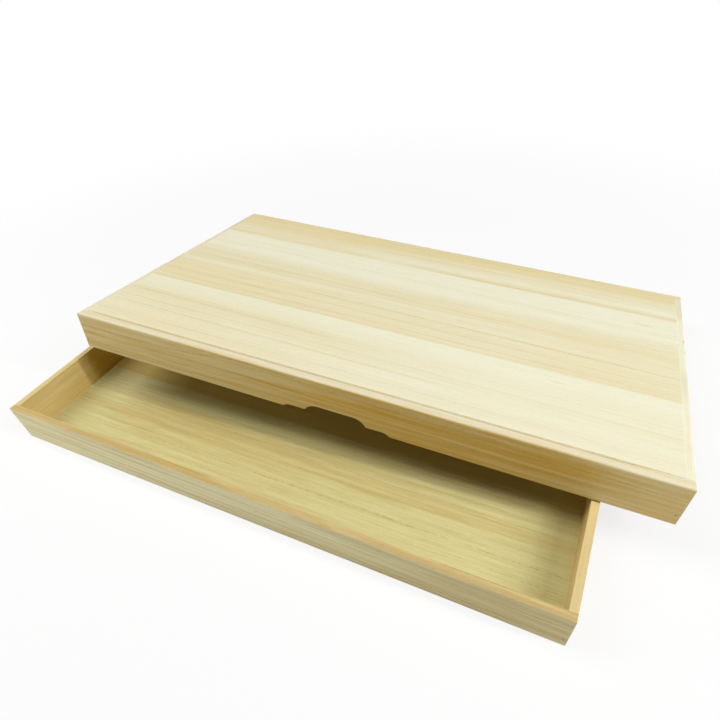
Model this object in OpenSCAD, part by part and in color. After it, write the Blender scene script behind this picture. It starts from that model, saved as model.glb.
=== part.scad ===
// Paulownia obi box: a shallow tray, and the lid that drops over it and hides it.
// The lid lies askew, the way it is left when the box is opened. Its front rail
// rests on the tray's right wall, its left rail rests on the back wall, and its
// back right corner stands on the table.
// Millimetres, Z up. The origin is the middle of the tray's underside, X runs
// along the tray and Y runs to its back.

/* [Tray] */
// Length of the room inside the tray, for an obi folded flat
tray_room_l = 618; // [560:1:700]
// Depth of the room inside the tray, a little over an obi's width
tray_room_d = 326; // [312:1:350]
// Height of the tray's walls
tray_h = 47; // [40:1:55]
// Thickness of the tray's walls
tray_wall = 7.5; // [6:0.5:10]
// Thickness of the tray's floor boards
floor_t = 5; // [4:0.5:8]
// Width of the front floor board
floor_front_w = 127; // [80:1:150]
// Width of the back floor board
floor_back_w = 89; // [60:1:130]
// Rounding of the tray's outer edges
tray_edge_r = 0.8; // [0.4:0.1:1.5]

/* [Lid] */
// Height of the lid's rails
lid_h = 45; // [40:1:55]
// Thickness of the lid's front and back rails
lid_face_t = 11; // [8:0.5:14]
// Thickness of the lid's side rails
lid_side_t = 7.5; // [6:0.5:10]
// Thickness of the lid's top boards
lid_board_t = 6; // [4:0.5:7]
// Width of the front top board
lid_front_w = 108; // [80:1:130]
// Width of the back top board
lid_back_w = 69; // [50:1:100]
// Width of the rabbet in each long rail that the top boards' edges lie in
lid_rabbet = 2; // [1:0.5:4]
// Room left between the tray and the closed lid, on every side
lid_clearance = 1; // [0.5:0.25:2]
// Rounding of the lid's upper edges
lid_top_r = 2.5; // [1:0.25:3.5]
// Rounding of the lid's lower edges
lid_low_r = 1; // [0.4:0.1:1.5]
// Bevel on the front top board, along its seam with the front rail
lid_seam_bevel = 0.7; // [0.3:0.1:1]

/* [Finger notch] */
// Height of the notch's arch
arch_rise = 12; // [9:0.5:16]
// Length of the flat top of the arch
arch_flat = 40; // [24:1:60]
// Radius of the arch's round ends
arch_r = 17; // [15:0.5:20]
// Height of the low step on each side of the arch
step_rise = 4; // [2.5:0.5:5]
// Length of the flat tops of both steps, from end to end
step_flat = 106; // [100:1:150]
// Radius of the steps' round ends
step_r = 8.5; // [6:0.5:12]

/* [Corner nails] */
// Diameter of a nail
nail_d = 1.4; // [1:0.1:2]
// Length of a nail
nail_l = 28; // [22:1:40]
// Height of the lid's nails above the rails' lower edge
lid_nail_h = 11; // [7:0.5:25]
// Height of the tray's nails above the table
tray_nail_h = 12; // [7:0.5:30]
// Room round a nail in its hole
nail_fit = 0.05; // [0.03:0.01:0.1]

/* [Opened lid] */
// How far the lid's front left corner stands in from the tray's left face
lid_in_x = 45; // [25:1:60]
// How far the lid's front left corner stands back from the tray's front face
lid_in_y = 95; // [60:1:130]
// How far the lid is turned, in degrees
lid_turn = 2.1; // [1.5:0.1:3]
// Gap left under the lid's resting places
seat_gap = 0.2; // [0.1:0.05:0.3]

/* [Hidden] */
$fn = 96;

// How far a cut runs past the face it opens
cut_past = 1;
// Wood tones
pale_wood = "#E8E1C4";
tan_wood = "#D9C795";
rim_wood = "#D2B27C";
nail_wood = "#8A6438";

// Outer sizes. The lid's follow from the tray that it goes over.
tray_l = tray_room_l + 2 * tray_wall;
tray_d = tray_room_d + 2 * tray_wall;
lid_l = tray_l + 2 * (lid_clearance + lid_side_t);
lid_d = tray_d + 2 * (lid_clearance + lid_face_t);
lid_room_l = lid_l - 2 * lid_side_t;
lid_room_d = lid_d - 2 * lid_face_t;
lid_top_d = lid_room_d + 2 * lid_rabbet;

// The opened lid, seen from above before it leans
function turned(p) = [
    p.x * cos(lid_turn) - p.y * sin(lid_turn),
    p.x * sin(lid_turn) + p.y * cos(lid_turn)
];
lid_corner = [lid_in_x - tray_l / 2, lid_in_y - tray_d / 2];
// The inner edge of the front rail crosses the right wall's outer face here
along_front = (tray_l / 2 - lid_corner.x + lid_face_t * sin(lid_turn)) / cos(lid_turn);
seat_right = lid_corner + turned([along_front, lid_face_t]);
// The inner edge of the left rail crosses the back wall's outer face here
along_side = (tray_d / 2 - lid_corner.y - lid_side_t * sin(lid_turn)) / cos(lid_turn);
seat_back = lid_corner + turned([lid_side_t, along_side]);
// The lid leans about the line through both seats until its far corner is down
seat_line = (seat_back - seat_right) / norm(seat_back - seat_right);
far_corner = lid_corner + turned([lid_l, lid_d]);
far_reach = cross(far_corner - seat_right, seat_line);
lid_lean = asin(tray_h / far_reach);

// Carries the lid from its own frame, with the front left lower corner at the
// origin, to where it lies on the tray
module leaning_lid() {
    translate([seat_right.x, seat_right.y, tray_h + seat_gap])
        rotate(a = lid_lean, v = [seat_line.x, seat_line.y, 0])
            translate([lid_corner.x - seat_right.x, lid_corner.y - seat_right.y, 0])
                rotate([0, 0, lid_turn])
                    children();
}

// Carries a tray piece from the tray's front left lower corner to the origin
module tray_frame() {
    translate([-tray_l / 2, -tray_d / 2, 0])
        children();
}

// Copies a piece to the mirrored place along a length, on the X axis
module mirrored_x(length) {
    translate([length, 0, 0])
        mirror([1, 0, 0])
            children();
}

// Copies a piece to the mirrored place along a depth, on the Y axis
module mirrored_y(depth) {
    translate([0, depth, 0])
        mirror([0, 1, 0])
            children();
}

// What a rounding takes off the corner at the origin of a sketch
module corner_waste(r) {
    difference() {
        translate([-cut_past, -cut_past])
            square(r + cut_past);
        translate([r, r])
            circle(r);
    }
}

// Section of a rail or wall, its outer face on the Y axis of the sketch, with
// the upper and lower edge of that face rounded
module eased_section(thick, high, top_r, low_r) {
    difference() {
        square([thick, high]);
        corner_waste(low_r);
        translate([0, high])
            mirror([0, 1])
                corner_waste(top_r);
    }
}

// Outline of a rail or wall seen from the front, with its ends eased likewise
module eased_outline(long, high, top_r, low_r) {
    intersection() {
        eased_section(long, high, top_r, low_r);
        translate([long, 0])
            mirror([1, 0])
                eased_section(long, high, top_r, low_r);
    }
}

// Stands an outline upright and gives it a thickness towards the back
module upright(thick) {
    translate([0, thick, 0])
        rotate([90, 0, 0])
            linear_extrude(thick)
                children();
}

// Runs a section along a length, on the X axis
module run_along(length) {
    rotate([90, 0, 90])
        linear_extrude(length)
            children();
}

// A long rail or wall: its front outline and its section cut from one board
module long_side(length, thick, high, top_r, low_r) {
    intersection() {
        upright(thick)
            difference() {
                eased_outline(length, high, top_r, low_r);
                children();
            }
        run_along(length)
            eased_section(thick, high, top_r, low_r);
    }
}

// A short rail or wall, which butts between the two long ones
module short_side(length, thick, high, top_r, low_r) {
    translate([0, length, 0])
        rotate([90, 0, 0])
            linear_extrude(length)
                eased_section(thick, high, top_r, low_r);
}

// One tier of the finger notch: a flat top that drops in a curve at each end
module notch_tier(flat, rise, end_r) {
    translate([-flat / 2, -cut_past])
        square([flat, rise + cut_past]);
    for (side = [-1, 1])
        translate([side * flat / 2, rise - end_r])
            circle(end_r);
}

// Outline of the whole finger notch, opening downwards
module finger_notch() {
    notch_tier(arch_flat, arch_rise, arch_r);
    notch_tier(step_flat, step_rise, step_r);
}

// Nails at both ends of one long side, from its outer face towards the back
module nail_row(length, inset, height, d, past) {
    for (x = [inset, length - inset])
        translate([x, -past, height])
            rotate([-90, 0, 0])
                cylinder(d = d, h = nail_l + past);
}

// Nails, or with a fit and a run-past their holes, in all four corners
module corner_nails(length, depth, inset, height, fit = 0, past = 0) {
    nail_row(length, inset, height, nail_d + 2 * fit, past);
    mirrored_y(depth)
        nail_row(length, inset, height, nail_d + 2 * fit, past);
}

// The lid's nails sit in the middle of the side rails' ends
module lid_nail_set(fit = 0, past = 0) {
    corner_nails(lid_l, lid_d, lid_side_t / 2, lid_nail_h, fit, past);
}

// The tray's nails sit in the middle of the side walls' ends
module tray_nail_set(fit = 0, past = 0) {
    corner_nails(tray_l, tray_d, tray_wall / 2, tray_nail_h, fit, past);
}

// A board laid flat between two sides
module flat_board(x, y, z, length, width, thick) {
    translate([x, y, z])
        cube([length, width, thick]);
}

// One of the lid's two long rails, with its finger notch, nail holes and the
// rabbet for the top boards, which stops where the side rails stand
module lid_long_rail() {
    difference() {
        long_side(lid_l, lid_face_t, lid_h, lid_top_r, lid_low_r)
            translate([lid_l / 2, 0])
                finger_notch();
        translate([lid_side_t, lid_face_t - lid_rabbet, lid_h - lid_board_t])
            cube([lid_room_l, lid_rabbet + cut_past, lid_board_t + cut_past]);
        lid_nail_set(nail_fit, cut_past);
    }
}

// One of the lid's two side rails, with the nail holes in its ends
module lid_side_rail() {
    difference() {
        translate([0, lid_face_t, 0])
            short_side(lid_room_d, lid_side_t, lid_h, lid_top_r, lid_low_r);
        lid_nail_set(nail_fit, cut_past);
    }
}

// A top board of the lid, let in flush between the rails. It is placed from the
// front rabbet's edge.
module lid_board(from_front, width) {
    flat_board(lid_side_t, lid_face_t - lid_rabbet + from_front, lid_h - lid_board_t,
               lid_room_l, width, lid_board_t);
}

// What the bevel takes off the front top board's upper front edge
module seam_waste() {
    translate([lid_side_t - cut_past, lid_face_t - lid_rabbet, lid_h])
        run_along(lid_room_l + 2 * cut_past)
            rotate(45)
                square(lid_seam_bevel * sqrt(2), center = true);
}

// One of the tray's two long walls, with its nail holes
module tray_long_wall() {
    difference() {
        long_side(tray_l, tray_wall, tray_h, tray_edge_r, tray_edge_r);
        tray_nail_set(nail_fit, cut_past);
    }
}

// One of the tray's two side walls, with the nail holes in its ends
module tray_side_wall() {
    difference() {
        translate([0, tray_wall, 0])
            short_side(tray_room_d, tray_wall, tray_h, tray_edge_r, tray_edge_r);
        tray_nail_set(nail_fit, cut_past);
    }
}

// A floor board of the tray, let in flush between the walls
module floor_board(from_front, width) {
    flat_board(tray_wall, tray_wall + from_front, 0, tray_room_l, width, floor_t);
}

module lid_front_rail() {
    color(tan_wood)
        leaning_lid()
            lid_long_rail();
}

module lid_back_rail() {
    color(tan_wood)
        leaning_lid()
            mirrored_y(lid_d)
                lid_long_rail();
}

module lid_left_rail() {
    color(tan_wood)
        leaning_lid()
            lid_side_rail();
}

module lid_right_rail() {
    color(tan_wood)
        leaning_lid()
            mirrored_x(lid_l)
                lid_side_rail();
}

module lid_front_board() {
    color(pale_wood)
        leaning_lid()
            difference() {
                lid_board(0, lid_front_w);
                seam_waste();
            }
}

module lid_middle_board() {
    color(tan_wood)
        leaning_lid()
            lid_board(lid_front_w, lid_top_d - lid_front_w - lid_back_w);
}

module lid_back_board() {
    color(rim_wood)
        leaning_lid()
            lid_board(lid_top_d - lid_back_w, lid_back_w);
}

module lid_corner_nails() {
    color(nail_wood)
        leaning_lid()
            lid_nail_set();
}

module tray_front_wall() {
    color(pale_wood)
        tray_frame()
            tray_long_wall();
}

module tray_back_wall() {
    color(pale_wood)
        tray_frame()
            mirrored_y(tray_d)
                tray_long_wall();
}

module tray_left_wall() {
    color(rim_wood)
        tray_frame()
            tray_side_wall();
}

module tray_right_wall() {
    color(rim_wood)
        tray_frame()
            mirrored_x(tray_l)
                tray_side_wall();
}

module floor_front_board() {
    color(tan_wood)
        tray_frame()
            floor_board(0, floor_front_w);
}

module floor_middle_board() {
    color(tan_wood)
        tray_frame()
            floor_board(floor_front_w, tray_room_d - floor_front_w - floor_back_w);
}

module floor_back_board() {
    color(tan_wood)
        tray_frame()
            floor_board(tray_room_d - floor_back_w, floor_back_w);
}

module tray_corner_nails() {
    color(nail_wood)
        tray_frame()
            tray_nail_set();
}

lid_front_rail();
lid_back_rail();
lid_left_rail();
lid_right_rail();
lid_front_board();
lid_middle_board();
lid_back_board();
lid_corner_nails();
tray_front_wall();
tray_back_wall();
tray_left_wall();
tray_right_wall();
floor_front_board();
floor_middle_board();
floor_back_board();
tray_corner_nails();
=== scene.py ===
"""Dresses the opened paulownia obi box in bare wood, and sets it on a pale studio floor."""

import math
from collections import namedtuple

import bpy
from mathutils import Matrix, Vector


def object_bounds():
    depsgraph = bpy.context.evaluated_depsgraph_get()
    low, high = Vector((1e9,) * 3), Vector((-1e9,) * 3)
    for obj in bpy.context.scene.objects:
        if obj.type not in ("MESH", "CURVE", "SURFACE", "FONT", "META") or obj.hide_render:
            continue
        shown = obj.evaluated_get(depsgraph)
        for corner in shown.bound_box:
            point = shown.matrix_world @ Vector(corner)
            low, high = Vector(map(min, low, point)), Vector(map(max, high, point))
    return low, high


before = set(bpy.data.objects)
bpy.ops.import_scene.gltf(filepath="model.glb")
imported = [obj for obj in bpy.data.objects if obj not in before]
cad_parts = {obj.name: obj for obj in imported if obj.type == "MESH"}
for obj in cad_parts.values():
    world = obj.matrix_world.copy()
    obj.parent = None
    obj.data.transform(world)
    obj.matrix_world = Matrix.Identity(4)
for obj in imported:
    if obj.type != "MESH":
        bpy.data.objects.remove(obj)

bl_info = {
    "name": "Paulownia obi box",
    "version": (1, 0, 0),
    "blender": (4, 5, 0),
    "location": "View3D > Sidebar > Obi box",
    "description": "Bare paulownia wood for an opened obi box, on a pale studio floor",
    "category": "Object",
}

CAD_LOW, CAD_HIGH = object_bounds()
MM = 0.001

WHITE = (1, 1, 1, 1)

# The photograph's frame is square
FRAME_PIXELS = 720
SENSOR_MM = 36
# The nearest and the furthest that the camera sees, in metres
CLIP_START = 0.01
CLIP_END = 50

# Which way each board was sawn: how far its rings' centre lies across and below it, how thick a
# year's ring is, and how far the grain drifts across the board for each millimetre along it
Sawn = namedtuple("Sawn", "across below ring_mm drift", defaults=(0.0,))
# A line that is plain to see, of a year's growth or along a joint: the places (mm along, mm across)
# that it runs through, its width in mm, how dark it is, how much it breaks up into the dots of its
# pores, and how far it strays, in mm
Line = namedtuple("Line", "course width depth dots wander", defaults=(0.0, 1.3))
# One piece of wood. Its tones are given at one or more places along it, each as the mm along and the
# (mm across, deepness) pairs from one edge to the other, where 0 is its pale colour and 1 its deep
# one. Lines lie on its faces and edge lines on its edges. Streaks is how far the streaks along the
# grain change the deepness, edge streaks how strongly they show on its edges, and fibres how much
# its fibres vary, as a share of the fibre depth.
Piece = namedtuple("Piece", "node tones sawn pale deep edge seed lines edge_lines streaks edge_streaks "
                            "fibres", defaults=((), (), 0.17, 0.35, 0.67))
# A part of the grain: how often it changes in each millimetre along, across and through the board,
# how far its seed is from the board's, how many finer layers it has and how strong they are
Grain = namedtuple("Grain", "scale shift detail roughness", defaults=(0.0, 2.0, 0.5))
# A softbox: its name, the setting that holds its power, the compass direction and the height that it
# shines from in degrees, its distance, its width and its length
Softbox = namedtuple("Softbox", "name power compass height distance wide tall")

# A piece's three directions: along the grain, across its width and through its thickness
ALONG, ACROSS, THROUGH = range(3)

FIBRES = Grain((0.022, 0.5, 0.5), 0, 5, 0.75)
STREAKS = Grain((0.007, 0.21, 0.21), 6, 4, 0.6)
CLOUDS = Grain((0.006, 0.03, 0.03), 3)
RING_WANDER = Grain((0.0035, 0.012, 0.03))
RING_BREAKS = Grain((0.011, 0.3, 0.3), 5, 3)
STRIPE_WANDER = Grain((0.004, 0.03, 0.03), 9, 3)
LINE_WANDER = Grain((0.016, 0.05, 0.05), 0, 4)
LINE_GRIT = Grain((0.03, 0.4, 0.4), 2, 3)
LINE_DOTS = Grain((0.22, 0.5, 0.5), 4)
PORE_SCALE = (0.14, 1.1, 1.1)
# The nails' grain is counted in metres
NAIL_SCALE = (2000, 2000, 2000)

# The values between which each part of the grain goes from not there to fully there
BAND_FADE = (0.3, 0.7)
STREAK_FADE = (0.4, 0.75)
RING_FADE = (0.2, 0.0)
RING_STRENGTH_FADE = (0.38, 0.66)
RING_BREAK_FADE = (0.30, 0.62)
PORE_FADE = (0.30, 0.12)
DOT_FADE = (0.42, 0.56)
# How squarely a surface faces sideways where it counts as an edge, and endways as end grain
EDGE_FADE = (0.3, 0.8)
END_GRAIN_FADE = (0.6, 0.9)

# How strong the growth lines are on the palest and on the deepest wood, how strong the pores are away
# from the lines and on them, and how strong the weakest and the strongest bits of a drawn line are
RING_STRENGTHS = (0.3, 0.9)
PORE_STRENGTHS = (0.35, 1.0)
LINE_STRENGTHS = (0.3, 1.4)

# How uneven the years' rings are, how many bands there are to a ring, and the shift that sets the
# strengths of the rings apart from the bands
RING_UNEVENNESS = 0.75
BANDS_PER_RING = 0.6
RING_STRENGTH_SHIFT = 31.7

# How far a joint's line strays, how far the borders between stripes do, and the longest stretch over
# which a drawn line fades out at its ends, in mm
JOINT_WANDER = 0.1
STRIPE_SWAY = 3
LINE_END = 45.0
# The part of a drawn line's width that is fully dark
LINE_CORE = 0.2
# How far the seeds of the edge lines are from the board's own
EDGE_LINE_SHIFT = 40

# How far the rings' bands and the clouds change the deepness of a board's tone, either way
BAND_SHARE = 0.08
CLOUD_SHARE = 0.22
# How bright end grain and rubbed edges are beside the rest
END_GRAIN_SHADE = 0.8
RUBBED_SHADE = 1.05
# How strongly red, green and blue follow the shade
SHADE_POWERS = (1.0, 1.0, 1.6)
# How far the fibres and the rubbing change the roughness
ROUGHNESS_CHANGE = 0.08
# How deep the pores are beside the fibres, how high the relief is and how strongly it shows
PORE_RELIEF = 1.5
RELIEF_HEIGHT = 0.06 * MM
RELIEF_STRENGTH = 0.25
WOOD_GLOSS = 0.2
NAIL_ROUGHNESS = (0.5, 0.75)

FLOOR_GLOSS = 0.1
FLOOR_ROUGHNESS = 0.9
# How far from the middle the floor's own shade starts to fade, and where it is plain white, in metres
SHADE_FADES_FROM = 0.5
SHADE_ENDS_AT = 1.1
SOFTBOXES = (
    Softbox("Right softbox", "right_light", -1, 36, 2.4, 0.12, 1.0),
    Softbox("Front softbox", "front_light", -18, 50, 2.4, 0.6, 0.8),
    Softbox("Left softbox", "left_light", 188, 53, 3.0, 1.5, 2.0),
    Softbox("Top softbox", "top_light", 0, 90, 3.0, 1.8, 1.8),
    Softbox("Low softbox", "low_light", 212, 12, 1.0, 0.4, 0.4),
)


class WoodSettings(bpy.types.PropertyGroup):
    """Colours and sizes of the bare wood, some of which also carry painted shade."""

    pale: bpy.props.FloatVectorProperty(
        name="Pale wood", description="The lighter wood of the lid's boards and side rails",
        subtype="COLOR", size=3, min=0, max=1, default=(0.875, 0.845, 0.645))
    straw: bpy.props.FloatVectorProperty(
        name="Straw wood", description="The deeper wood of the lid's front and middle boards",
        subtype="COLOR", size=3, min=0, max=1, default=(0.795, 0.695, 0.41))
    barley: bpy.props.FloatVectorProperty(
        name="Barley wood", description="The lighter wood of the lid's long rails and the right wall, "
                                        "and the deeper wood of the side rails and the back board",
        subtype="COLOR", size=3, min=0, max=1, default=(0.78, 0.64, 0.315))
    # Honey is the long rails' deeper wood, made deeper and warmer than their upper edges as painted
    # shade on their faces.
    honey_and_painted_shade: bpy.props.FloatVectorProperty(
        name="Honey wood", description="The deeper wood of the lid's long rails",
        subtype="COLOR", size=3, min=0, max=1, default=(0.685, 0.428, 0.09))
    cream: bpy.props.FloatVectorProperty(
        name="Cream wood", description="The planed upper edges of the lid's front and left rails",
        subtype="COLOR", size=3, min=0, max=1, default=(0.80, 0.735, 0.525))
    oat: bpy.props.FloatVectorProperty(
        name="Oat wood", description="The lighter wood of the tray's floor",
        subtype="COLOR", size=3, min=0, max=1, default=(0.625, 0.57, 0.268))
    reed: bpy.props.FloatVectorProperty(
        name="Reed wood", description="The deeper wood of the floor's front board",
        subtype="COLOR", size=3, min=0, max=1, default=(0.53, 0.422, 0.162))
    # Hay is the floor's deeper wood, made deeper and browner as painted shade for the lid's shadow over
    # the middle and back boards.
    hay_and_painted_shade: bpy.props.FloatVectorProperty(
        name="Hay wood", description="The deeper wood of the floor's middle and back boards",
        subtype="COLOR", size=3, min=0, max=1, default=(0.54, 0.40, 0.12))
    ash: bpy.props.FloatVectorProperty(
        name="Ash-grey wood", description="The lighter wood of the tray's long walls",
        subtype="COLOR", size=3, min=0, max=1, default=(0.89, 0.815, 0.48))
    dun: bpy.props.FloatVectorProperty(
        name="Dun wood", description="The deeper wood of the tray's long walls",
        subtype="COLOR", size=3, min=0, max=1, default=(0.68, 0.562, 0.272))
    # Amber is the right wall's deepest tone, towards its bottom and about 115 mm along.
    amber: bpy.props.FloatVectorProperty(
        name="Amber wood", description="The deeper wood of the tray's right wall",
        subtype="COLOR", size=3, min=0, max=1, default=(0.55, 0.355, 0.09))
    # Umber is the left wall's deeper wood and also painted shadow: at full depth it stands for the
    # lid's shadow on the wall's inner face.
    umber_and_painted_shadow: bpy.props.FloatVectorProperty(
        name="Umber wood", description="The deeper wood of the tray's left wall",
        subtype="COLOR", size=3, min=0, max=1, default=(0.48, 0.30, 0.045))
    wheat: bpy.props.FloatVectorProperty(
        name="Wheat wood", description="The lighter wood of the tray's left wall",
        subtype="COLOR", size=3, min=0, max=1, default=(0.76, 0.585, 0.265))
    rim: bpy.props.FloatVectorProperty(
        name="Rim", description="The upper edges of the tray's long walls",
        subtype="COLOR", size=3, min=0, max=1, default=(0.55, 0.40, 0.155))
    side_rim: bpy.props.FloatVectorProperty(
        name="Side rim", description="The upper edges of the tray's side walls",
        subtype="COLOR", size=3, min=0, max=1, default=(0.71, 0.565, 0.265))
    ring: bpy.props.FloatVectorProperty(
        name="Growth line",
        description="The lines at the end of each year's growth and along the joints",
        subtype="COLOR", size=3, min=0, max=1, default=(0.45, 0.29, 0.045))
    nail: bpy.props.FloatVectorProperty(
        name="Nail", description="The dark parts of the wooden nails",
        subtype="COLOR", size=3, min=0, max=1, default=(0.16, 0.08, 0.03))
    ring_depth: bpy.props.FloatProperty(
        name="Growth line depth", description="How dark the growth lines are",
        subtype="FACTOR", min=0, max=1, default=0.30)
    fibre_depth: bpy.props.FloatProperty(
        name="Fibre depth", description="How much the fine fibres vary in brightness",
        subtype="FACTOR", min=0, max=1, default=0.145)
    pore_depth: bpy.props.FloatProperty(
        name="Pore depth", description="How dark the open pores are",
        subtype="FACTOR", min=0, max=1, default=0.3)
    sway: bpy.props.FloatProperty(
        name="Sway", description="How far the years' rings wander, in millimetres",
        min=0, max=20, default=5)
    roughness: bpy.props.FloatProperty(
        name="Roughness", description="Roughness of the planed wood",
        subtype="FACTOR", min=0, max=1, default=0.62)
    wear: bpy.props.FloatProperty(
        name="Edge wear", description="Width of the rubbed band along each edge",
        subtype="DISTANCE", unit="LENGTH", min=0, max=0.01, default=0.0012)


class StageSettings(bpy.types.PropertyGroup):
    """Floor, lights and camera."""

    floor_size: bpy.props.FloatProperty(
        name="Floor size", description="Length of the square floor's sides",
        subtype="DISTANCE", unit="LENGTH", min=2, max=40, default=12)
    floor_tone: bpy.props.FloatVectorProperty(
        name="Floor colour", description="Colour of the studio floor",
        subtype="COLOR", size=3, min=0, max=1, default=(0.9, 0.9, 0.9))
    shadow_share: bpy.props.FloatProperty(
        name="Shadow share",
        description="How much of the floor's own light and shade shows round the box",
        subtype="FACTOR", min=0, max=1, default=0.22)
    sky: bpy.props.FloatProperty(
        name="Room light", description="Strength of the light from all round",
        min=0, max=5, default=0.02)
    right_light: bpy.props.FloatProperty(
        name="Right light", description="Power of the narrow softbox on the right, in watts",
        subtype="POWER", min=0, max=1000, default=22)
    front_light: bpy.props.FloatProperty(
        name="Front light", description="Power of the higher softbox at the front right, in watts",
        subtype="POWER", min=0, max=1000, default=16.5)
    left_light: bpy.props.FloatProperty(
        name="Left light", description="Power of the broad softbox high on the left, in watts",
        subtype="POWER", min=0, max=1000, default=46)
    top_light: bpy.props.FloatProperty(
        name="Top light", description="Power of the large softbox straight above, in watts",
        subtype="POWER", min=0, max=1000, default=14)
    low_light: bpy.props.FloatProperty(
        name="Low light", description="Power of the small softbox low at the front left, in watts",
        subtype="POWER", min=0, max=1000, default=1.25)
    camera_place: bpy.props.FloatVectorProperty(
        name="Camera place", description="Where the camera stands",
        subtype="TRANSLATION", unit="LENGTH", size=3, default=(0.2650, -0.3667, 0.4437))
    camera_turn: bpy.props.FloatVectorProperty(
        name="Camera turn", description="How the camera is turned about X, Y and Z",
        subtype="EULER", unit="ROTATION", size=3,
        default=[math.radians(a) for a in (43.767, 3.208, 24.337)])
    camera_lens: bpy.props.FloatProperty(
        name="Lens", description="Focal length on a 36 mm sensor, in millimetres",
        min=10, max=200, default=25.78)
    camera_middle: bpy.props.FloatVectorProperty(
        name="Lens axis", description="Where the lens axis meets the frame, in pixels of the frame",
        size=2, default=(379.3, 417.8))


def add(tree, kind, **fields):
    """Adds a shader node and sets its fields."""
    made = tree.nodes.new("ShaderNode" + kind)
    for field, value in fields.items():
        setattr(made, field, value)
    return made


def feed(tree, source, socket):
    """Feeds a socket from another one, or sets it to a plain value."""
    if isinstance(source, bpy.types.NodeSocket):
        tree.links.new(source, socket)
    else:
        socket.default_value = source


def reckon(tree, operation, *terms, clamp=False):
    """One step of arithmetic on sockets and numbers."""
    made = add(tree, "Math", operation=operation, use_clamp=clamp)
    for term, socket in zip(terms, made.inputs):
        feed(tree, term, socket)
    return made.outputs[0]


def fade(tree, value, low, high):
    """Rises smoothly from 0 at low to 1 at high, or falls where low is the larger."""
    made = add(tree, "MapRange", interpolation_type="SMOOTHSTEP")
    feed(tree, value, made.inputs["Value"])
    made.inputs["From Min"].default_value = low
    made.inputs["From Max"].default_value = high
    return made.outputs[0]


def spread(tree, value, low, high):
    """Carries 0 to 1 evenly onto low to high."""
    made = add(tree, "MapRange")
    feed(tree, value, made.inputs["Value"])
    made.inputs["To Min"].default_value = low
    made.inputs["To Max"].default_value = high
    return made.outputs[0]


def stretched(tree, place, scale, shift=0.0):
    """A place scaled by its own amount along each axis, and shifted by a seed."""
    made = add(tree, "VectorMath", operation="MULTIPLY_ADD")
    feed(tree, place, made.inputs[0])
    made.inputs[1].default_value = scale
    made.inputs[2].default_value = (shift, shift, shift)
    return made.outputs[0]


def noise(tree, place, scale, shift=0.0, detail=2.0, roughness=0.5):
    """Soft noise that is stretched along the axes with a small scale."""
    made = add(tree, "TexNoise", noise_dimensions="3D")
    feed(tree, stretched(tree, place, scale, shift), made.inputs["Vector"])
    made.inputs["Scale"].default_value = 1
    made.inputs["Detail"].default_value = detail
    made.inputs["Roughness"].default_value = roughness
    return made.outputs["Fac"]


def noise_along(tree, value, detail=1.0):
    """Soft noise along one value."""
    made = add(tree, "TexNoise", noise_dimensions="1D")
    feed(tree, value, made.inputs["W"])
    made.inputs["Scale"].default_value = 1
    made.inputs["Detail"].default_value = detail
    return made.outputs["Fac"]


def blend(tree, share, first, second, how="MIX"):
    """Mixes two colours."""
    made = add(tree, "Mix", data_type="RGBA", blend_type=how)
    feed(tree, share, made.inputs["Factor"])
    feed(tree, first, made.inputs["A"])
    feed(tree, second, made.inputs["B"])
    return made.outputs["Result"]


def opaque(colour):
    """A colour setting as the four numbers that a socket takes."""
    return (*colour, 1.0)


def axes_of_box(node):
    """The three directions of a plain board's sides, each turned to the row's own X, Y or Z."""
    normals = [face.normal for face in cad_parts[node].data.polygons]
    return [max(normals, key=lambda n: n[axis]).normalized() for axis in range(3)]


def reach(node, axes):
    """The lowest and highest place of a node along each of three directions."""
    corners = [v.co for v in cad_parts[node].data.vertices]
    along = [[c.dot(axis) for c in corners] for axis in axes]
    return [min(a) for a in along], [max(a) for a in along]


def piece_frame(node):
    """A piece's own frame: its low corner, its directions (grain, width, thickness) and its size."""
    board = "lid_front_board" if node.startswith("lid") else "floor_front_board"
    axes = axes_of_box(board)
    low, high = reach(node, axes)
    grain, width, _ = sorted(range(3), key=lambda k: low[k] - high[k])
    own = [axes[grain], axes[width], axes[grain].cross(axes[width])]
    low, high = reach(node, own)
    corner = sum((axis * place for axis, place in zip(own, low)), Vector())
    return corner, own, [b - a for a, b in zip(low, high)]


def own_place(tree, corner, axes):
    """The place on a piece in millimetres from its low corner: along, across and through."""
    here = add(tree, "TexCoord").outputs["Object"]
    made = add(tree, "Mapping", vector_type="TEXTURE")
    feed(tree, here, made.inputs["Vector"])
    made.inputs["Location"].default_value = corner
    made.inputs["Rotation"].default_value = Matrix(axes).transposed().to_euler()
    return stretched(tree, made.outputs[0], (1 / MM, 1 / MM, 1 / MM))


def facing(tree, axis):
    """How squarely the surface faces along a direction or against it, from 0 to 1."""
    normal = add(tree, "TexCoord").outputs["Normal"]
    made = add(tree, "VectorMath", operation="DOT_PRODUCT")
    feed(tree, normal, made.inputs[0])
    made.inputs[1].default_value = axis
    return reckon(tree, "ABSOLUTE", made.outputs["Value"])


class Board:
    """A piece of wood as its material sees it: its directions, and its size and places on it in mm."""

    def __init__(self, tree, node, seed):
        corner, self.axes, size = piece_frame(node)
        self.tree = tree
        self.seed = seed
        self.size = [part / MM for part in size]
        self.place = own_place(tree, corner, self.axes)
        split = add(tree, "SeparateXYZ")
        feed(tree, self.place, split.inputs[0])
        self.parts = [split.outputs[k] for k in range(3)]

    def grain(self, kind, shift=0.0):
        """One part of the grain, from 0 to 1."""
        return noise(self.tree, self.place, kind.scale, self.seed + kind.shift + shift,
                     kind.detail, kind.roughness)


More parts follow.
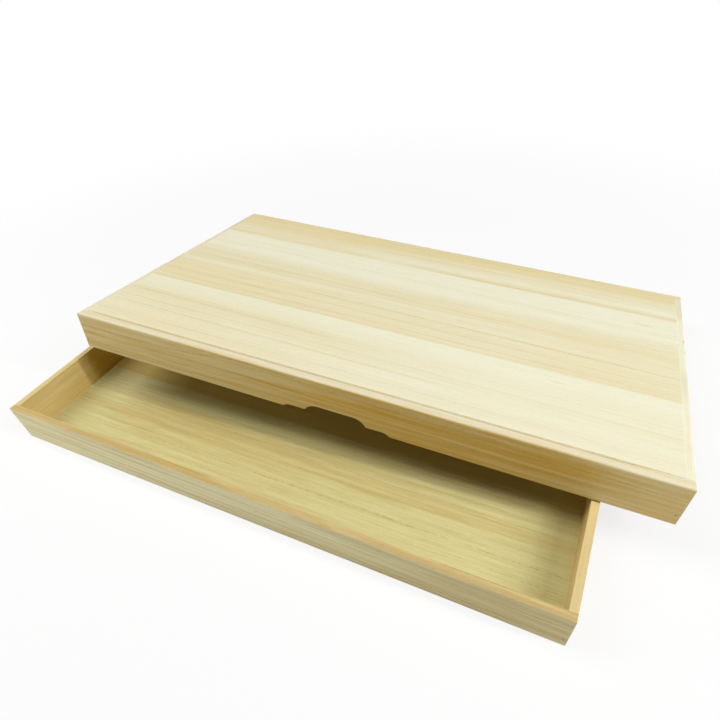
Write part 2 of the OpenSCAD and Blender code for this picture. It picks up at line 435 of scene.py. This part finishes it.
def edge_distance(board):
    """How far a point on a board's face is from the face's nearest edge, in millimetres."""
    tree = board.tree
    gaps = []
    for part, length in zip(board.parts, board.size):
        half = length / 2
        centred = reckon(tree, "ABSOLUTE", reckon(tree, "SUBTRACT", part, half))
        gaps.append(reckon(tree, "SUBTRACT", half, centred))
    total = reckon(tree, "ADD", reckon(tree, "ADD", gaps[0], gaps[1]), gaps[2])
    least = reckon(tree, "MINIMUM", reckon(tree, "MINIMUM", gaps[0], gaps[1]), gaps[2])
    most = reckon(tree, "MAXIMUM", reckon(tree, "MAXIMUM", gaps[0], gaps[1]), gaps[2])
    return reckon(tree, "SUBTRACT", reckon(tree, "SUBTRACT", total, least), most)


def ring_count(board, sawn, sway):
    """Counts the years' rings outwards from their centre, with a slow wander along the board."""
    tree = board.tree
    along, across, through = board.parts
    offset = spread(tree, board.grain(RING_WANDER), -sway, sway)
    across = reckon(tree, "ADD", reckon(tree, "SUBTRACT", across, sawn.across), offset)
    across = reckon(tree, "MULTIPLY_ADD", along, -sawn.drift, across)
    below = reckon(tree, "ADD", through, sawn.below)
    radius = reckon(tree, "SQRT", reckon(tree, "ADD", reckon(tree, "POWER", across, 2.0),
                                         reckon(tree, "POWER", below, 2.0)))
    return reckon(tree, "MULTIPLY_ADD", radius, 1 / sawn.ring_mm, board.seed)


def growth_lines(board, rings):
    """Thin lines where one year's growth ends, each of its own strength and broken along the board."""
    tree = board.tree
    made = add(tree, "TexVoronoi", voronoi_dimensions="1D", feature="DISTANCE_TO_EDGE")
    feed(tree, rings, made.inputs["W"])
    made.inputs["Scale"].default_value = 1
    made.inputs["Randomness"].default_value = RING_UNEVENNESS
    line = fade(tree, made.outputs["Distance"], *RING_FADE)
    own = noise_along(tree, reckon(tree, "ADD", rings, RING_STRENGTH_SHIFT))
    strength = fade(tree, own, *RING_STRENGTH_FADE)
    broken = fade(tree, board.grain(RING_BREAKS), *RING_BREAK_FADE)
    return reckon(tree, "MULTIPLY", reckon(tree, "MULTIPLY", line, strength), broken)


def open_pores(board):
    """Short dark dashes, as a paulownia board's open pores look when they are cut lengthwise."""
    tree = board.tree
    made = add(tree, "TexVoronoi", voronoi_dimensions="3D", feature="F1")
    feed(tree, stretched(tree, board.place, PORE_SCALE, board.seed), made.inputs["Vector"])
    made.inputs["Scale"].default_value = 1
    return fade(tree, made.outputs["Distance"], *PORE_FADE)


def line_course(board, course, width):
    """Where a drawn line lies on a face or an edge, in millimetres, at each place along it."""
    tree = board.tree
    length = board.size[ALONG]
    made = add(tree, "FloatCurve")
    spots = made.mapping.curves[0].points
    spots[0].location = (course[0][0] / length, course[0][1] / width)
    spots[1].location = (course[-1][0] / length, course[-1][1] / width)
    for x, y in course[1:-1]:
        spots.new(x / length, y / width)
    made.mapping.update()
    feed(tree, reckon(tree, "DIVIDE", board.parts[ALONG], length), made.inputs["Value"])
    return reckon(tree, "MULTIPLY", made.outputs[0], width)


def drawn_line(board, across, width, line, shift):
    """One line drawn where it shows on the real board, on a face or an edge of the given width."""
    tree = board.tree
    along, length = board.parts[ALONG], board.size[ALONG]
    course = line_course(board, line.course, width)
    wobble = spread(tree, board.grain(LINE_WANDER, shift), -line.wander, line.wander)
    gap = reckon(tree, "SUBTRACT", across, reckon(tree, "ADD", wobble, course))
    body = fade(tree, reckon(tree, "ABSOLUTE", gap), line.width, line.width * LINE_CORE)
    start, end = line.course[0][0], line.course[-1][0]
    soft = min(LINE_END, (end - start) / 3)
    # A line that reaches an end of the board is still half as dark there
    before = soft if start == 0 else 0
    beyond = soft if end > length - 1 else 0
    begins = fade(tree, along, start - before, start + soft)
    ends = fade(tree, along, end + beyond, end - soft)
    grit = spread(tree, board.grain(LINE_GRIT, shift), *LINE_STRENGTHS)
    if line.dots:
        dots = fade(tree, board.grain(LINE_DOTS, shift), *DOT_FADE)
        grit = reckon(tree, "MULTIPLY", grit, spread(tree, dots, 1 - line.dots, 1))
    body = reckon(tree, "MULTIPLY", body, reckon(tree, "MULTIPLY", begins, ends))
    return reckon(tree, "MULTIPLY", body, reckon(tree, "MULTIPLY", grit, line.depth))


def drawn_lines(board, way, lines, shift=0):
    """The strongest of several lines, which lie across a face or through the thickness of an edge."""
    most = 0.0
    for number, line in enumerate(lines):
        drawn = drawn_line(board, board.parts[way], board.size[way], line, shift + number)
        most = reckon(board.tree, "MAXIMUM", most, drawn)
    return most


def tone_ramp(tree, share, tones, width):
    """How deep the tone is across the board, through (mm across, deepness) pairs."""
    made = add(tree, "ValToRGB")
    ramp = made.color_ramp
    ramp.interpolation = "EASE"
    while len(ramp.elements) < len(tones):
        ramp.elements.new(0.5)
    for element, (across, deepness) in zip(ramp.elements, tones):
        element.position = across / width
        element.color = (deepness, deepness, deepness, 1)
    feed(tree, share, made.inputs["Fac"])
    return made.outputs["Color"]


def board_tones(board, stations):
    """How deep the board's tone is from edge to edge and from end to end, with soft borders."""
    tree = board.tree
    along, across, _ = board.parts
    width = board.size[ACROSS]
    sway = spread(tree, board.grain(STRIPE_WANDER), -STRIPE_SWAY, STRIPE_SWAY)
    share = reckon(tree, "DIVIDE", reckon(tree, "ADD", across, sway), width, clamp=True)
    tone = tone_ramp(tree, share, stations[0][1], width)
    for (before, _), (here, tones) in zip(stations, stations[1:]):
        tone = blend(tree, fade(tree, along, before, here), tone,
                     tone_ramp(tree, share, tones, width))
    return tone


def wood_deepness(board, piece, rings, streaks):
    """How deep the wood is, from 0 to 1: the board's tones with bands, streaks and clouds on them."""
    tree = board.tree
    bands = noise_along(tree, reckon(tree, "MULTIPLY", rings, BANDS_PER_RING), detail=2)
    bands = fade(tree, bands, *BAND_FADE)
    deepness = board_tones(board, piece.tones)
    deepness = reckon(tree, "ADD", deepness, spread(tree, bands, -BAND_SHARE, BAND_SHARE))
    deepness = reckon(tree, "ADD", deepness, spread(tree, streaks, -piece.streaks, piece.streaks))
    clouds = spread(tree, board.grain(CLOUDS), -CLOUD_SHARE, CLOUD_SHARE)
    return reckon(tree, "ADD", deepness, clouds, clamp=True)


def lined(tree, colour, lines, settings):
    """A colour with growth lines on it."""
    share = reckon(tree, "MULTIPLY", lines, settings.ring_depth, clamp=True)
    return blend(tree, share, colour, opaque(settings.ring))


def wood_colour(board, piece, settings, deepness, lines, streaks):
    """The colour of the faces and the edges, before fibres, pores and rubbing."""
    tree = board.tree
    face = blend(tree, deepness, opaque(piece.pale), opaque(piece.deep))
    streaked = reckon(tree, "MULTIPLY", fade(tree, streaks, *STREAK_FADE), piece.edge_streaks)
    edge = blend(tree, streaked, opaque(piece.edge), opaque(piece.deep))
    edge_lines = drawn_lines(board, THROUGH, piece.edge_lines, EDGE_LINE_SHIFT)
    on_edge = fade(tree, facing(tree, board.axes[ACROSS]), *EDGE_FADE)
    return blend(tree, on_edge, lined(tree, face, lines, settings),
                 lined(tree, edge, edge_lines, settings))


def wood_shade(board, piece, settings, fibres, pores, rubbed):
    """How bright each place is beside its plain colour."""
    tree = board.tree
    depth = settings.fibre_depth * piece.fibres
    end_grain = fade(tree, facing(tree, board.axes[ALONG]), *END_GRAIN_FADE)
    shade = spread(tree, fibres, 1 - depth, 1 + depth)
    for share, there in ((pores, 1 - settings.pore_depth), (end_grain, END_GRAIN_SHADE),
                         (rubbed, RUBBED_SHADE)):
        shade = reckon(tree, "MULTIPLY", shade, spread(tree, share, 1, there))
    return shade


def shaded(tree, colour, shade):
    """A colour made darker or lighter, and warmer where it is darker."""
    tint = add(tree, "CombineColor")
    for socket, power in zip(tint.inputs, SHADE_POWERS):
        feed(tree, reckon(tree, "POWER", shade, power), socket)
    return blend(tree, 1.0, colour, tint.outputs[0], "MULTIPLY")


def wood_roughness(tree, settings, fibres, rubbed):
    """The roughness, which is less where the wood is rubbed."""
    varied = spread(tree, fibres, -ROUGHNESS_CHANGE, ROUGHNESS_CHANGE)
    rough = reckon(tree, "ADD", varied, settings.roughness)
    return reckon(tree, "SUBTRACT", rough, reckon(tree, "MULTIPLY", rubbed, ROUGHNESS_CHANGE))


def wood_relief(tree, fibres, pores, lines):
    """The grain's relief: raised fibres, with hollows at the pores and the growth lines."""
    relief = reckon(tree, "SUBTRACT", fibres, reckon(tree, "MULTIPLY", pores, PORE_RELIEF))
    relief = reckon(tree, "SUBTRACT", relief, reckon(tree, "MINIMUM", lines, 1.0))
    bump = add(tree, "Bump")
    bump.inputs["Strength"].default_value = RELIEF_STRENGTH
    bump.inputs["Distance"].default_value = RELIEF_HEIGHT
    feed(tree, relief, bump.inputs["Height"])
    return bump.outputs[0]


def wood(piece, settings):
    """The bare wood of one piece: tones (on some pieces with painted shade and painted light in them),
    rings, fibres, pores, rubbed edges, grain relief and gloss.
    """
    material = bpy.data.materials.new("Wood of the " + piece.node.replace("_", " "))
    material.use_nodes = True
    tree = material.node_tree
    shader = tree.nodes["Principled BSDF"]
    board = Board(tree, piece.node, piece.seed)

    rings = ring_count(board, piece.sawn, settings.sway)
    fibres = board.grain(FIBRES)
    streaks = board.grain(STREAKS)
    deepness = wood_deepness(board, piece, rings, streaks)
    strength = spread(tree, deepness, *RING_STRENGTHS)
    lines = reckon(tree, "MULTIPLY", growth_lines(board, rings), strength)
    lines = reckon(tree, "MAXIMUM", lines, drawn_lines(board, ACROSS, piece.lines))
    pores = reckon(tree, "MULTIPLY", open_pores(board), spread(tree, lines, *PORE_STRENGTHS))
    rubbed = fade(tree, edge_distance(board), settings.wear / MM, 0.0)

    colour = wood_colour(board, piece, settings, deepness, lines, streaks)
    shade = wood_shade(board, piece, settings, fibres, pores, rubbed)
    feed(tree, shaded(tree, colour, shade), shader.inputs["Base Color"])
    feed(tree, wood_roughness(tree, settings, fibres, rubbed), shader.inputs["Roughness"])
    feed(tree, wood_relief(tree, fibres, pores, lines), shader.inputs["Normal"])
    shader.inputs["Specular IOR Level"].default_value = WOOD_GLOSS
    return material


def dress(node, material):
    """Gives a piece its material."""
    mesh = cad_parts[node].data
    mesh.materials.clear()
    mesh.materials.append(material)


def lid_boards(s):
    """The three boards of the lid's top, from front to back."""
    front_left = [(0, 0.6), (38, 0.52), (54, 0.65), (64, 0.6), (74, 0.8), (82, 0.3), (108, 0.15)]
    front_right = [(0, 0.3), (32, 0.15), (46, 0.25), (62, 0.18), (76, 0.16), (86, 0.0), (108, 0.0)]
    front_lines = [
        Line([(0, 40), (430, 37)], 1.6, 0.7), Line([(0, 53), (635, 50)], 1.4, 0.4),
        Line([(0, 71), (300, 68)], 3.0, 0.6),
        Line([(0, 0.1), (635, 0.1)], 1.9, 4.6, wander=JOINT_WANDER),
        Line([(505, 93), (530, 91)], 1.6, 0.6), Line([(66, 22), (80, 21)], 1.4, 0.5)]
    middle_left = [(0, 0.9), (14, 0.8), (34, 0.75), (50, 0.9), (62, 0.45), (74, 0.76), (96, 0.6),
                   (122, 0.08), (170, 0.0)]
    middle_right = [(0, 0.7), (30, 0.6), (45, 0.6), (56, 0.45), (80, 0.75), (98, 0.48), (118, 0.06),
                    (170, 0.0)]
    middle_lines = [
        Line([(0, 3.4), (635, 4)], 1.2, 0.45), Line([(0, 13), (250, 13), (635, 9)], 1.5, 0.55),
        Line([(0, 30), (300, 28), (635, 23)], 1.4, 0.55),
        Line([(170, 46), (320, 46), (635, 42.5)], 1.5, 0.9),
        Line([(0, 72), (430, 71)], 1.3, 0.55), Line([(0, 82.5), (340, 82)], 1.6, 0.7),
        Line([(0, 97.5), (380, 97), (560, 98)], 1.0, 0.6), Line([(583, 148), (612, 146)], 3.0, 0.6)]
    back_left = [(0, 0.6), (8, 0.5), (20, 0.32), (40, 0.6), (69, 0.85)]
    back_right = [(0, 0.45), (8, 0.5), (18, 0.05), (30, 0.4), (42, 0.35), (52, 0.75), (69, 0.88)]
    back_lines = [
        Line([(300, 3), (635, 5)], 1.7, 0.9), Line([(230, 32), (420, 38), (635, 36)], 2.4, 0.4),
        Line([(460, 55), (635, 54)], 1.4, 0.45)]
    return [
        Piece("lid_front_board", [(90, front_left), (540, front_right)], Sawn(-140, 30, 7),
              s.pale, s.straw, s.pale, seed=3.1, lines=front_lines, streaks=0.06, fibres=0.45),
        Piece("lid_middle_board", [(130, middle_left), (500, middle_right)], Sawn(-160, 40, 6),
              s.pale, s.straw, s.pale, seed=8.4, lines=middle_lines),
        Piece("lid_back_board", [(120, back_left), (460, back_right)], Sawn(-120, 35, 8),
              s.pale, s.barley, s.straw, seed=14.2, lines=back_lines),
    ]


def lid_rails(s):
    """The lid's four rails."""
    end = [(0, 0.32), (20, 0.25), (32, 0.18), (45, 0.0)]
    quarter = [(0, 0.4), (16, 0.35), (28, 0.25), (45, 0.15)]
    middle = [(0, 0.9), (15, 0.9), (30, 0.9), (38, 0.65), (45, 0.25)]
    long_tones = [(20, end), (190, quarter), (390, middle), (520, middle), (630, end)]
    side_tones = [(0, [(0, 0.7), (30, 0.5), (45, 0.1)])]
    upper_ring = [(0, 30.7), (103, 31.3), (137, 32.7), (164, 35.4), (192, 39.9), (219, 41.6),
                  (260, 40.2), (308, 36.8), (376, 34.8), (445, 32.7), (547, 30.7), (650, 29.3)]
    lower_ring = [(0, 4.7), (68, 5.4), (137, 6.5), (178, 7.8), (222, 7.1), (262, 4.4)]
    front_lines = [
        Line(upper_ring, 1.8, 1.3, 0.4), Line(lower_ring, 1.6, 1.4),
        Line([(290, 39), (420, 37), (520, 33)], 4.0, 1.2, 0.3),
        Line([(330, 30), (460, 27), (560, 28)], 3.0, 1.2, 0.3),
        Line([(60, 22), (300, 24)], 3.0, 0.9), Line([(80, 14), (250, 17)], 2.0, 0.8),
        Line([(420, 17), (600, 15)], 2.5, 1.0)]
    # The seam between the front rail and the top, which ends at the side rails
    seam = [Line([(7.6, 2), (642.4, 2)], 1.35, 3.4, wander=JOINT_WANDER)]
    # Where the side rails' upper edges are darker, and two dark specks on the right one
    deeper = [Line([(104, 4), (178, 4)], 8.0, 0.5), Line([(276, 4), (343, 4)], 8.0, 0.8)]
    specks = [Line([(229, 6), (238, 6)], 1.6, 2.0), Line([(206, 6.2), (211, 6)], 1.2, 1.6)]
    return [
        # The front rail's face is barley and honey and its upper edge cream: the face's deeper, warmer
        # colour is partly painted shade.
        Piece("lid_front_rail", long_tones, Sawn(-60, 90, 15), s.barley, s.honey_and_painted_shade, s.cream, seed=21.5,
              lines=front_lines, edge_lines=seam, streaks=1.4, edge_streaks=0.4, fibres=0.75),
        Piece("lid_back_rail", long_tones, Sawn(-50, 80, 14), s.barley, s.honey_and_painted_shade, s.straw, seed=27.9),
        Piece("lid_left_rail", side_tones, Sawn(-70, 60, 11), s.pale, s.barley, s.cream, seed=33.3,
              edge_lines=deeper),
        Piece("lid_right_rail", side_tones, Sawn(-70, 60, 11), s.pale, s.barley, s.pale, seed=39.6,
              edge_lines=[*deeper, *specks]),
    ]


def tray_walls(s):
    """The tray's four walls."""
    sawn = Sawn(-70, 60, 5)
    # The long walls are paler towards their left ends, partly as painted light from the front left.
    # They are deeper towards their right ends and lower down, partly as the wood's own darker grain.
    long_tones = [(60, [(0, 0.1), (20, 0.15), (47, 0.1)]),
                  (330, [(0, 0.75), (10, 0.55), (20, 0.3), (38, 0.0), (47, 0.1)]),
                  (560, [(0, 1.0), (10, 0.95), (20, 0.65), (47, 0.75)])]
    # From 110 to 128 mm along, the left wall is at its full depth as painted shadow, for the shadow
    # that the lid casts on the wall's inner face. It shows on the outer face too, and fades out again
    # by 190 mm.
    left_tones_with_painted_shadow = [(20, [(0, 0.15), (20, 0.06), (47, 0.0)]), (88, [(0, 0.47), (20, 0.37), (47, 0.23)]),
                  (110, [(0, 1.0), (47, 1.0)]), (128, [(0, 1.0), (24, 1.0), (40, 0.7)]),
                  (190, [(0, 0.45), (20, 0.35), (47, 0.25)])]
    # The right wall is darker towards its bottom, and deepest about 115 mm along.
    right_tones = [(20, [(0, 0.3), (30, 0.2), (40, 0.0), (47, 0.0)]),
                   (115, [(0, 1.0), (30, 0.9), (40, 0.55), (47, 0.5)]),
                   (200, [(0, 0.5), (30, 0.4), (47, 0.3)])]
    front_lines = [
        Line([(300, 27), (633, 30)], 1.6, 1.3, 0.4), Line([(0, 19), (420, 18)], 1.8, 1.1, 0.3),
        Line([(420, 8), (633, 10)], 2.0, 1.4, 0.5), Line([(60, 35), (380, 33)], 1.6, 1.1, 0.4)]
    rim_lines = [
        Line([(190, 1.4), (250, 1.0), (300, 1.5)], 2.4, 2.0), Line([(0, 4), (330, 5)], 3.0, 1.2),
        Line([(310, 2.5), (328, 3)], 1.4, 1.0), Line([(500, 1), (592, 0.6)], 1.2, 1.6, 0.6),
        Line([(404, 6.5), (424, 6.3)], 1.4, 1.5)]
    left_lines = [
        Line([(0, 36), (326, 34)], 1.2, 0.5), Line([(0, 28), (326, 26)], 1.0, 0.35),
        Line([(0, 20), (326, 21)], 1.0, 0.35), Line([(0, 12), (326, 14)], 1.4, 0.4)]
    return [
        Piece("tray_front_wall", long_tones, sawn, s.ash, s.dun, s.rim, seed=45.2,
              lines=front_lines, edge_lines=rim_lines, streaks=1.6, edge_streaks=0.95, fibres=1.1),
        Piece("tray_back_wall", long_tones, sawn, s.ash, s.dun, s.rim, seed=51.8),
        Piece("tray_left_wall", left_tones_with_painted_shadow, sawn, s.wheat, s.umber_and_painted_shadow, s.side_rim, seed=57.1,
              lines=left_lines, streaks=0.35, fibres=1.4),
        Piece("tray_right_wall", right_tones, sawn, s.barley, s.amber, s.side_rim, seed=63.7),
    ]


def floor_boards(s):
    """The three boards of the tray's floor, from front to back."""
    sawn = Sawn(-120, 40, 7, 0.02)
    # Towards its back edge the front board is paler at the left end, as painted light where the lid's
    # shadow begins, and deep at the right end, as painted shade. The stripes further forward are the
    # wood's own.
    end = [(0, 0.1), (40, 0.0), (56, 0.1), (70, 0.5), (82, 0.2), (127, 0.2)]
    left = [(0, 0.4), (40, 0.4), (56, 0.65), (70, 0.95), (86, 0.95), (105, 0.25), (127, 0.0)]
    right = [(0, 0.1), (45, 0.0), (68, 0.1), (80, 0.6), (92, 0.4), (127, 0.85)]
    # The middle and back boards are deep almost all over: their own wood, with painted shade for the
    # lid's shadow over them.
    brown_with_painted_shade = [(0, [(0, 0.95), (60, 0.85), (110, 0.9)])]
    front_lines = [
        Line([(540, 32), (618, 32.5)], 1.0, 1.9, 0.9),
        Line([(110, 43), (300, 45), (618, 49)], 1.1, 2.2, 0.85),
        Line([(20, 62), (300, 68), (618, 73)], 1.8, 1.0, 0.3),
        Line([(20, 78), (300, 83), (618, 88)], 1.2, 1.0, 0.5),
        Line([(60, 15), (420, 18)], 1.4, 0.7, 0.4),
        Line([(35, 126.4), (420, 126.4)], 1.2, 2.2, wander=JOINT_WANDER)]
    return [
        Piece("floor_front_board", [(30, end), (130, left), (560, right)], sawn,
              s.oat, s.reed, s.reed, seed=69.3, lines=front_lines, streaks=1.1, fibres=1.7),
        Piece("floor_middle_board", brown_with_painted_shade, sawn, s.oat, s.hay_and_painted_shade, s.reed, seed=75.4),
        Piece("floor_back_board", brown_with_painted_shade, sawn, s.oat, s.hay_and_painted_shade, s.reed, seed=81.9),
    ]


def dress_all(pieces, settings):
    """Makes and gives the wood of several pieces."""
    for piece in pieces:
        dress(piece.node, wood(piece, settings))


class OBIBOX_OT_lid_boards(bpy.types.Operator):
    """Finish the three boards of the lid's top"""

    bl_idname = "obibox.lid_boards"
    bl_label = "Lid boards"

    def execute(self, context):
        settings = context.scene.obibox_wood
        dress_all(lid_boards(settings), settings)
        return {"FINISHED"}


class OBIBOX_OT_lid_rails(bpy.types.Operator):
    """Finish the lid's four rails"""

    bl_idname = "obibox.lid_rails"
    bl_label = "Lid rails"

    def execute(self, context):
        settings = context.scene.obibox_wood
        dress_all(lid_rails(settings), settings)
        return {"FINISHED"}


class OBIBOX_OT_tray_walls(bpy.types.Operator):
    """Finish the tray's four walls"""

    bl_idname = "obibox.tray_walls"
    bl_label = "Tray walls"

    def execute(self, context):
        settings = context.scene.obibox_wood
        dress_all(tray_walls(settings), settings)
        return {"FINISHED"}


class OBIBOX_OT_floor_boards(bpy.types.Operator):
    """Finish the three boards of the tray's floor"""

    bl_idname = "obibox.floor_boards"
    bl_label = "Floor boards"

    def execute(self, context):
        settings = context.scene.obibox_wood
        dress_all(floor_boards(settings), settings)
        return {"FINISHED"}


class OBIBOX_OT_nails(bpy.types.Operator):
    """Finish the nails in the corners of the lid and the tray"""

    bl_idname = "obibox.nails"
    bl_label = "Corner nails"

    def execute(self, context):
        settings = context.scene.obibox_wood
        material = bpy.data.materials.new("Wooden nails")
        material.use_nodes = True
        tree = material.node_tree
        shader = tree.nodes["Principled BSDF"]
        here = add(tree, "TexCoord").outputs["Object"]
        spots = noise(tree, here, NAIL_SCALE)
        dark = opaque(settings.nail)
        feed(tree, blend(tree, spots, dark, opaque(settings.ring)), shader.inputs["Base Color"])
        feed(tree, spread(tree, spots, *NAIL_ROUGHNESS), shader.inputs["Roughness"])
        for node in ("lid_corner_nails", "tray_corner_nails"):
            dress(node, material)
        return {"FINISHED"}


def white_to_the_camera(tree, kind, share, shader, output):
    """Shows plain white in a share of the shader's place, to the camera and to reflections alone."""
    path = add(tree, "LightPath")
    seen = reckon(tree, "MAXIMUM", path.outputs["Is Camera Ray"], path.outputs["Is Glossy Ray"])
    seen = reckon(tree, "MAXIMUM", seen, path.outputs["Is Transmission Ray"])
    white = add(tree, kind)
    white.inputs["Color"].default_value = WHITE
    white.inputs["Strength"].default_value = 1
    mix = add(tree, "MixShader")
    feed(tree, reckon(tree, "MULTIPLY", seen, share), mix.inputs[0])
    feed(tree, shader, mix.inputs[1])
    feed(tree, white.outputs[0], mix.inputs[2])
    feed(tree, mix.outputs[0], output)


def make_room(stage):
    """Faint even light from all round, with a white background."""
    world = bpy.data.worlds.new("Studio")
    bpy.context.scene.world = world
    world.use_nodes = True
    tree = world.node_tree
    light = tree.nodes["Background"]
    light.inputs["Color"].default_value = WHITE
    light.inputs["Strength"].default_value = stage.sky
    output = tree.nodes["World Output"].inputs["Surface"]
    white_to_the_camera(tree, "Background", 1.0, light.outputs[0], output)


def make_floor(stage):
    """The plain pale floor, with the box's soft shadow near it and plain white further out."""
    half = stage.floor_size / 2
    mesh = bpy.data.meshes.new("studio_floor")
    corners = [(-half, -half, 0), (half, -half, 0), (half, half, 0), (-half, half, 0)]
    mesh.from_pydata(corners, [], [(0, 1, 2, 3)])
    floor = bpy.data.objects.new("studio_floor", mesh)
    bpy.context.scene.collection.objects.link(floor)
    material = bpy.data.materials.new("Studio floor")
    material.use_nodes = True
    tree = material.node_tree
    shader = tree.nodes["Principled BSDF"]
    shader.inputs["Base Color"].default_value = opaque(stage.floor_tone)
    shader.inputs["Roughness"].default_value = FLOOR_ROUGHNESS
    shader.inputs["Specular IOR Level"].default_value = FLOOR_GLOSS
    away = add(tree, "VectorMath", operation="LENGTH")
    feed(tree, add(tree, "TexCoord").outputs["Object"], away.inputs[0])
    near = fade(tree, away.outputs["Value"], SHADE_ENDS_AT, SHADE_FADES_FROM)
    share = reckon(tree, "MULTIPLY_ADD", near, -stage.shadow_share, 1.0)
    output = tree.nodes["Material Output"].inputs["Surface"]
    white_to_the_camera(tree, "Emission", share, shader.outputs[0], output)
    mesh.materials.append(material)


def make_softbox(box, target, power):
    """A softbox that faces a point."""
    lamp = bpy.data.lights.new(box.name, "AREA")
    lamp.shape = "RECTANGLE"
    lamp.size, lamp.size_y = box.wide, box.tall
    lamp.energy = power
    holder = bpy.data.objects.new(box.name, lamp)
    bpy.context.scene.collection.objects.link(holder)
    turn, rise = math.radians(box.compass), math.radians(box.height)
    level = math.cos(rise)
    outwards = Vector((level * math.cos(turn), level * math.sin(turn), math.sin(rise)))
    holder.location = target + outwards * box.distance
    holder.rotation_euler = outwards.to_track_quat("Z", "Y").to_euler()
    holder.visible_camera = False


def make_camera(stage):
    """The camera, with the lens axis where the photograph has it."""
    data = bpy.data.cameras.new("Photograph")
    data.sensor_width = SENSOR_MM
    data.lens = stage.camera_lens
    middle = FRAME_PIXELS / 2
    data.shift_x = (middle - stage.camera_middle[0]) / FRAME_PIXELS
    data.shift_y = (stage.camera_middle[1] - middle) / FRAME_PIXELS
    data.clip_start, data.clip_end = CLIP_START, CLIP_END
    camera = bpy.data.objects.new("Photograph", data)
    bpy.context.scene.collection.objects.link(camera)
    camera.location = stage.camera_place
    camera.rotation_euler = stage.camera_turn
    bpy.context.scene.camera = camera


class OBIBOX_OT_stage(bpy.types.Operator):
    """Set up the floor, the lights and the camera"""

    bl_idname = "obibox.stage"
    bl_label = "Stage"

    def execute(self, context):
        stage = context.scene.obibox_stage
        make_camera(stage)
        make_floor(stage)
        make_room(stage)
        middle = (CAD_LOW + CAD_HIGH) / 2
        for box in SOFTBOXES:
            make_softbox(box, middle, getattr(stage, box.power))
        context.scene.view_settings.view_transform = "Standard"
        return {"FINISHED"}


class OBIBOX_PT_panel(bpy.types.Panel):
    """The steps that dress the box, and its colours and sizes"""

    bl_label = "Obi box"
    bl_idname = "OBIBOX_PT_panel"
    bl_space_type = "VIEW_3D"
    bl_region_type = "UI"
    bl_category = "Obi box"

    def draw(self, context):
        for step in STEPS:
            self.layout.operator(step.bl_idname)
        for settings in (context.scene.obibox_wood, context.scene.obibox_stage):
            column = self.layout.column()
            for name in settings.__annotations__:
                column.prop(settings, name)


STEPS = (OBIBOX_OT_lid_boards, OBIBOX_OT_lid_rails, OBIBOX_OT_tray_walls, OBIBOX_OT_floor_boards,
         OBIBOX_OT_nails, OBIBOX_OT_stage)
CLASSES = (WoodSettings, StageSettings, *STEPS, OBIBOX_PT_panel)


def register():
    """Adds the settings, the steps and the panel."""
    for made in CLASSES:
        bpy.utils.register_class(made)
    bpy.types.Scene.obibox_wood = bpy.props.PointerProperty(type=WoodSettings)
    bpy.types.Scene.obibox_stage = bpy.props.PointerProperty(type=StageSettings)


def unregister():
    """Takes them away again."""
    del bpy.types.Scene.obibox_wood
    del bpy.types.Scene.obibox_stage
    for made in reversed(CLASSES):
        bpy.utils.unregister_class(made)


def main():
    """Runs every step in order."""
    register()
    for step in STEPS:
        group, action = step.bl_idname.split(".")
        getattr(getattr(bpy.ops, group), action)()


if __name__ == "__main__":
    main()
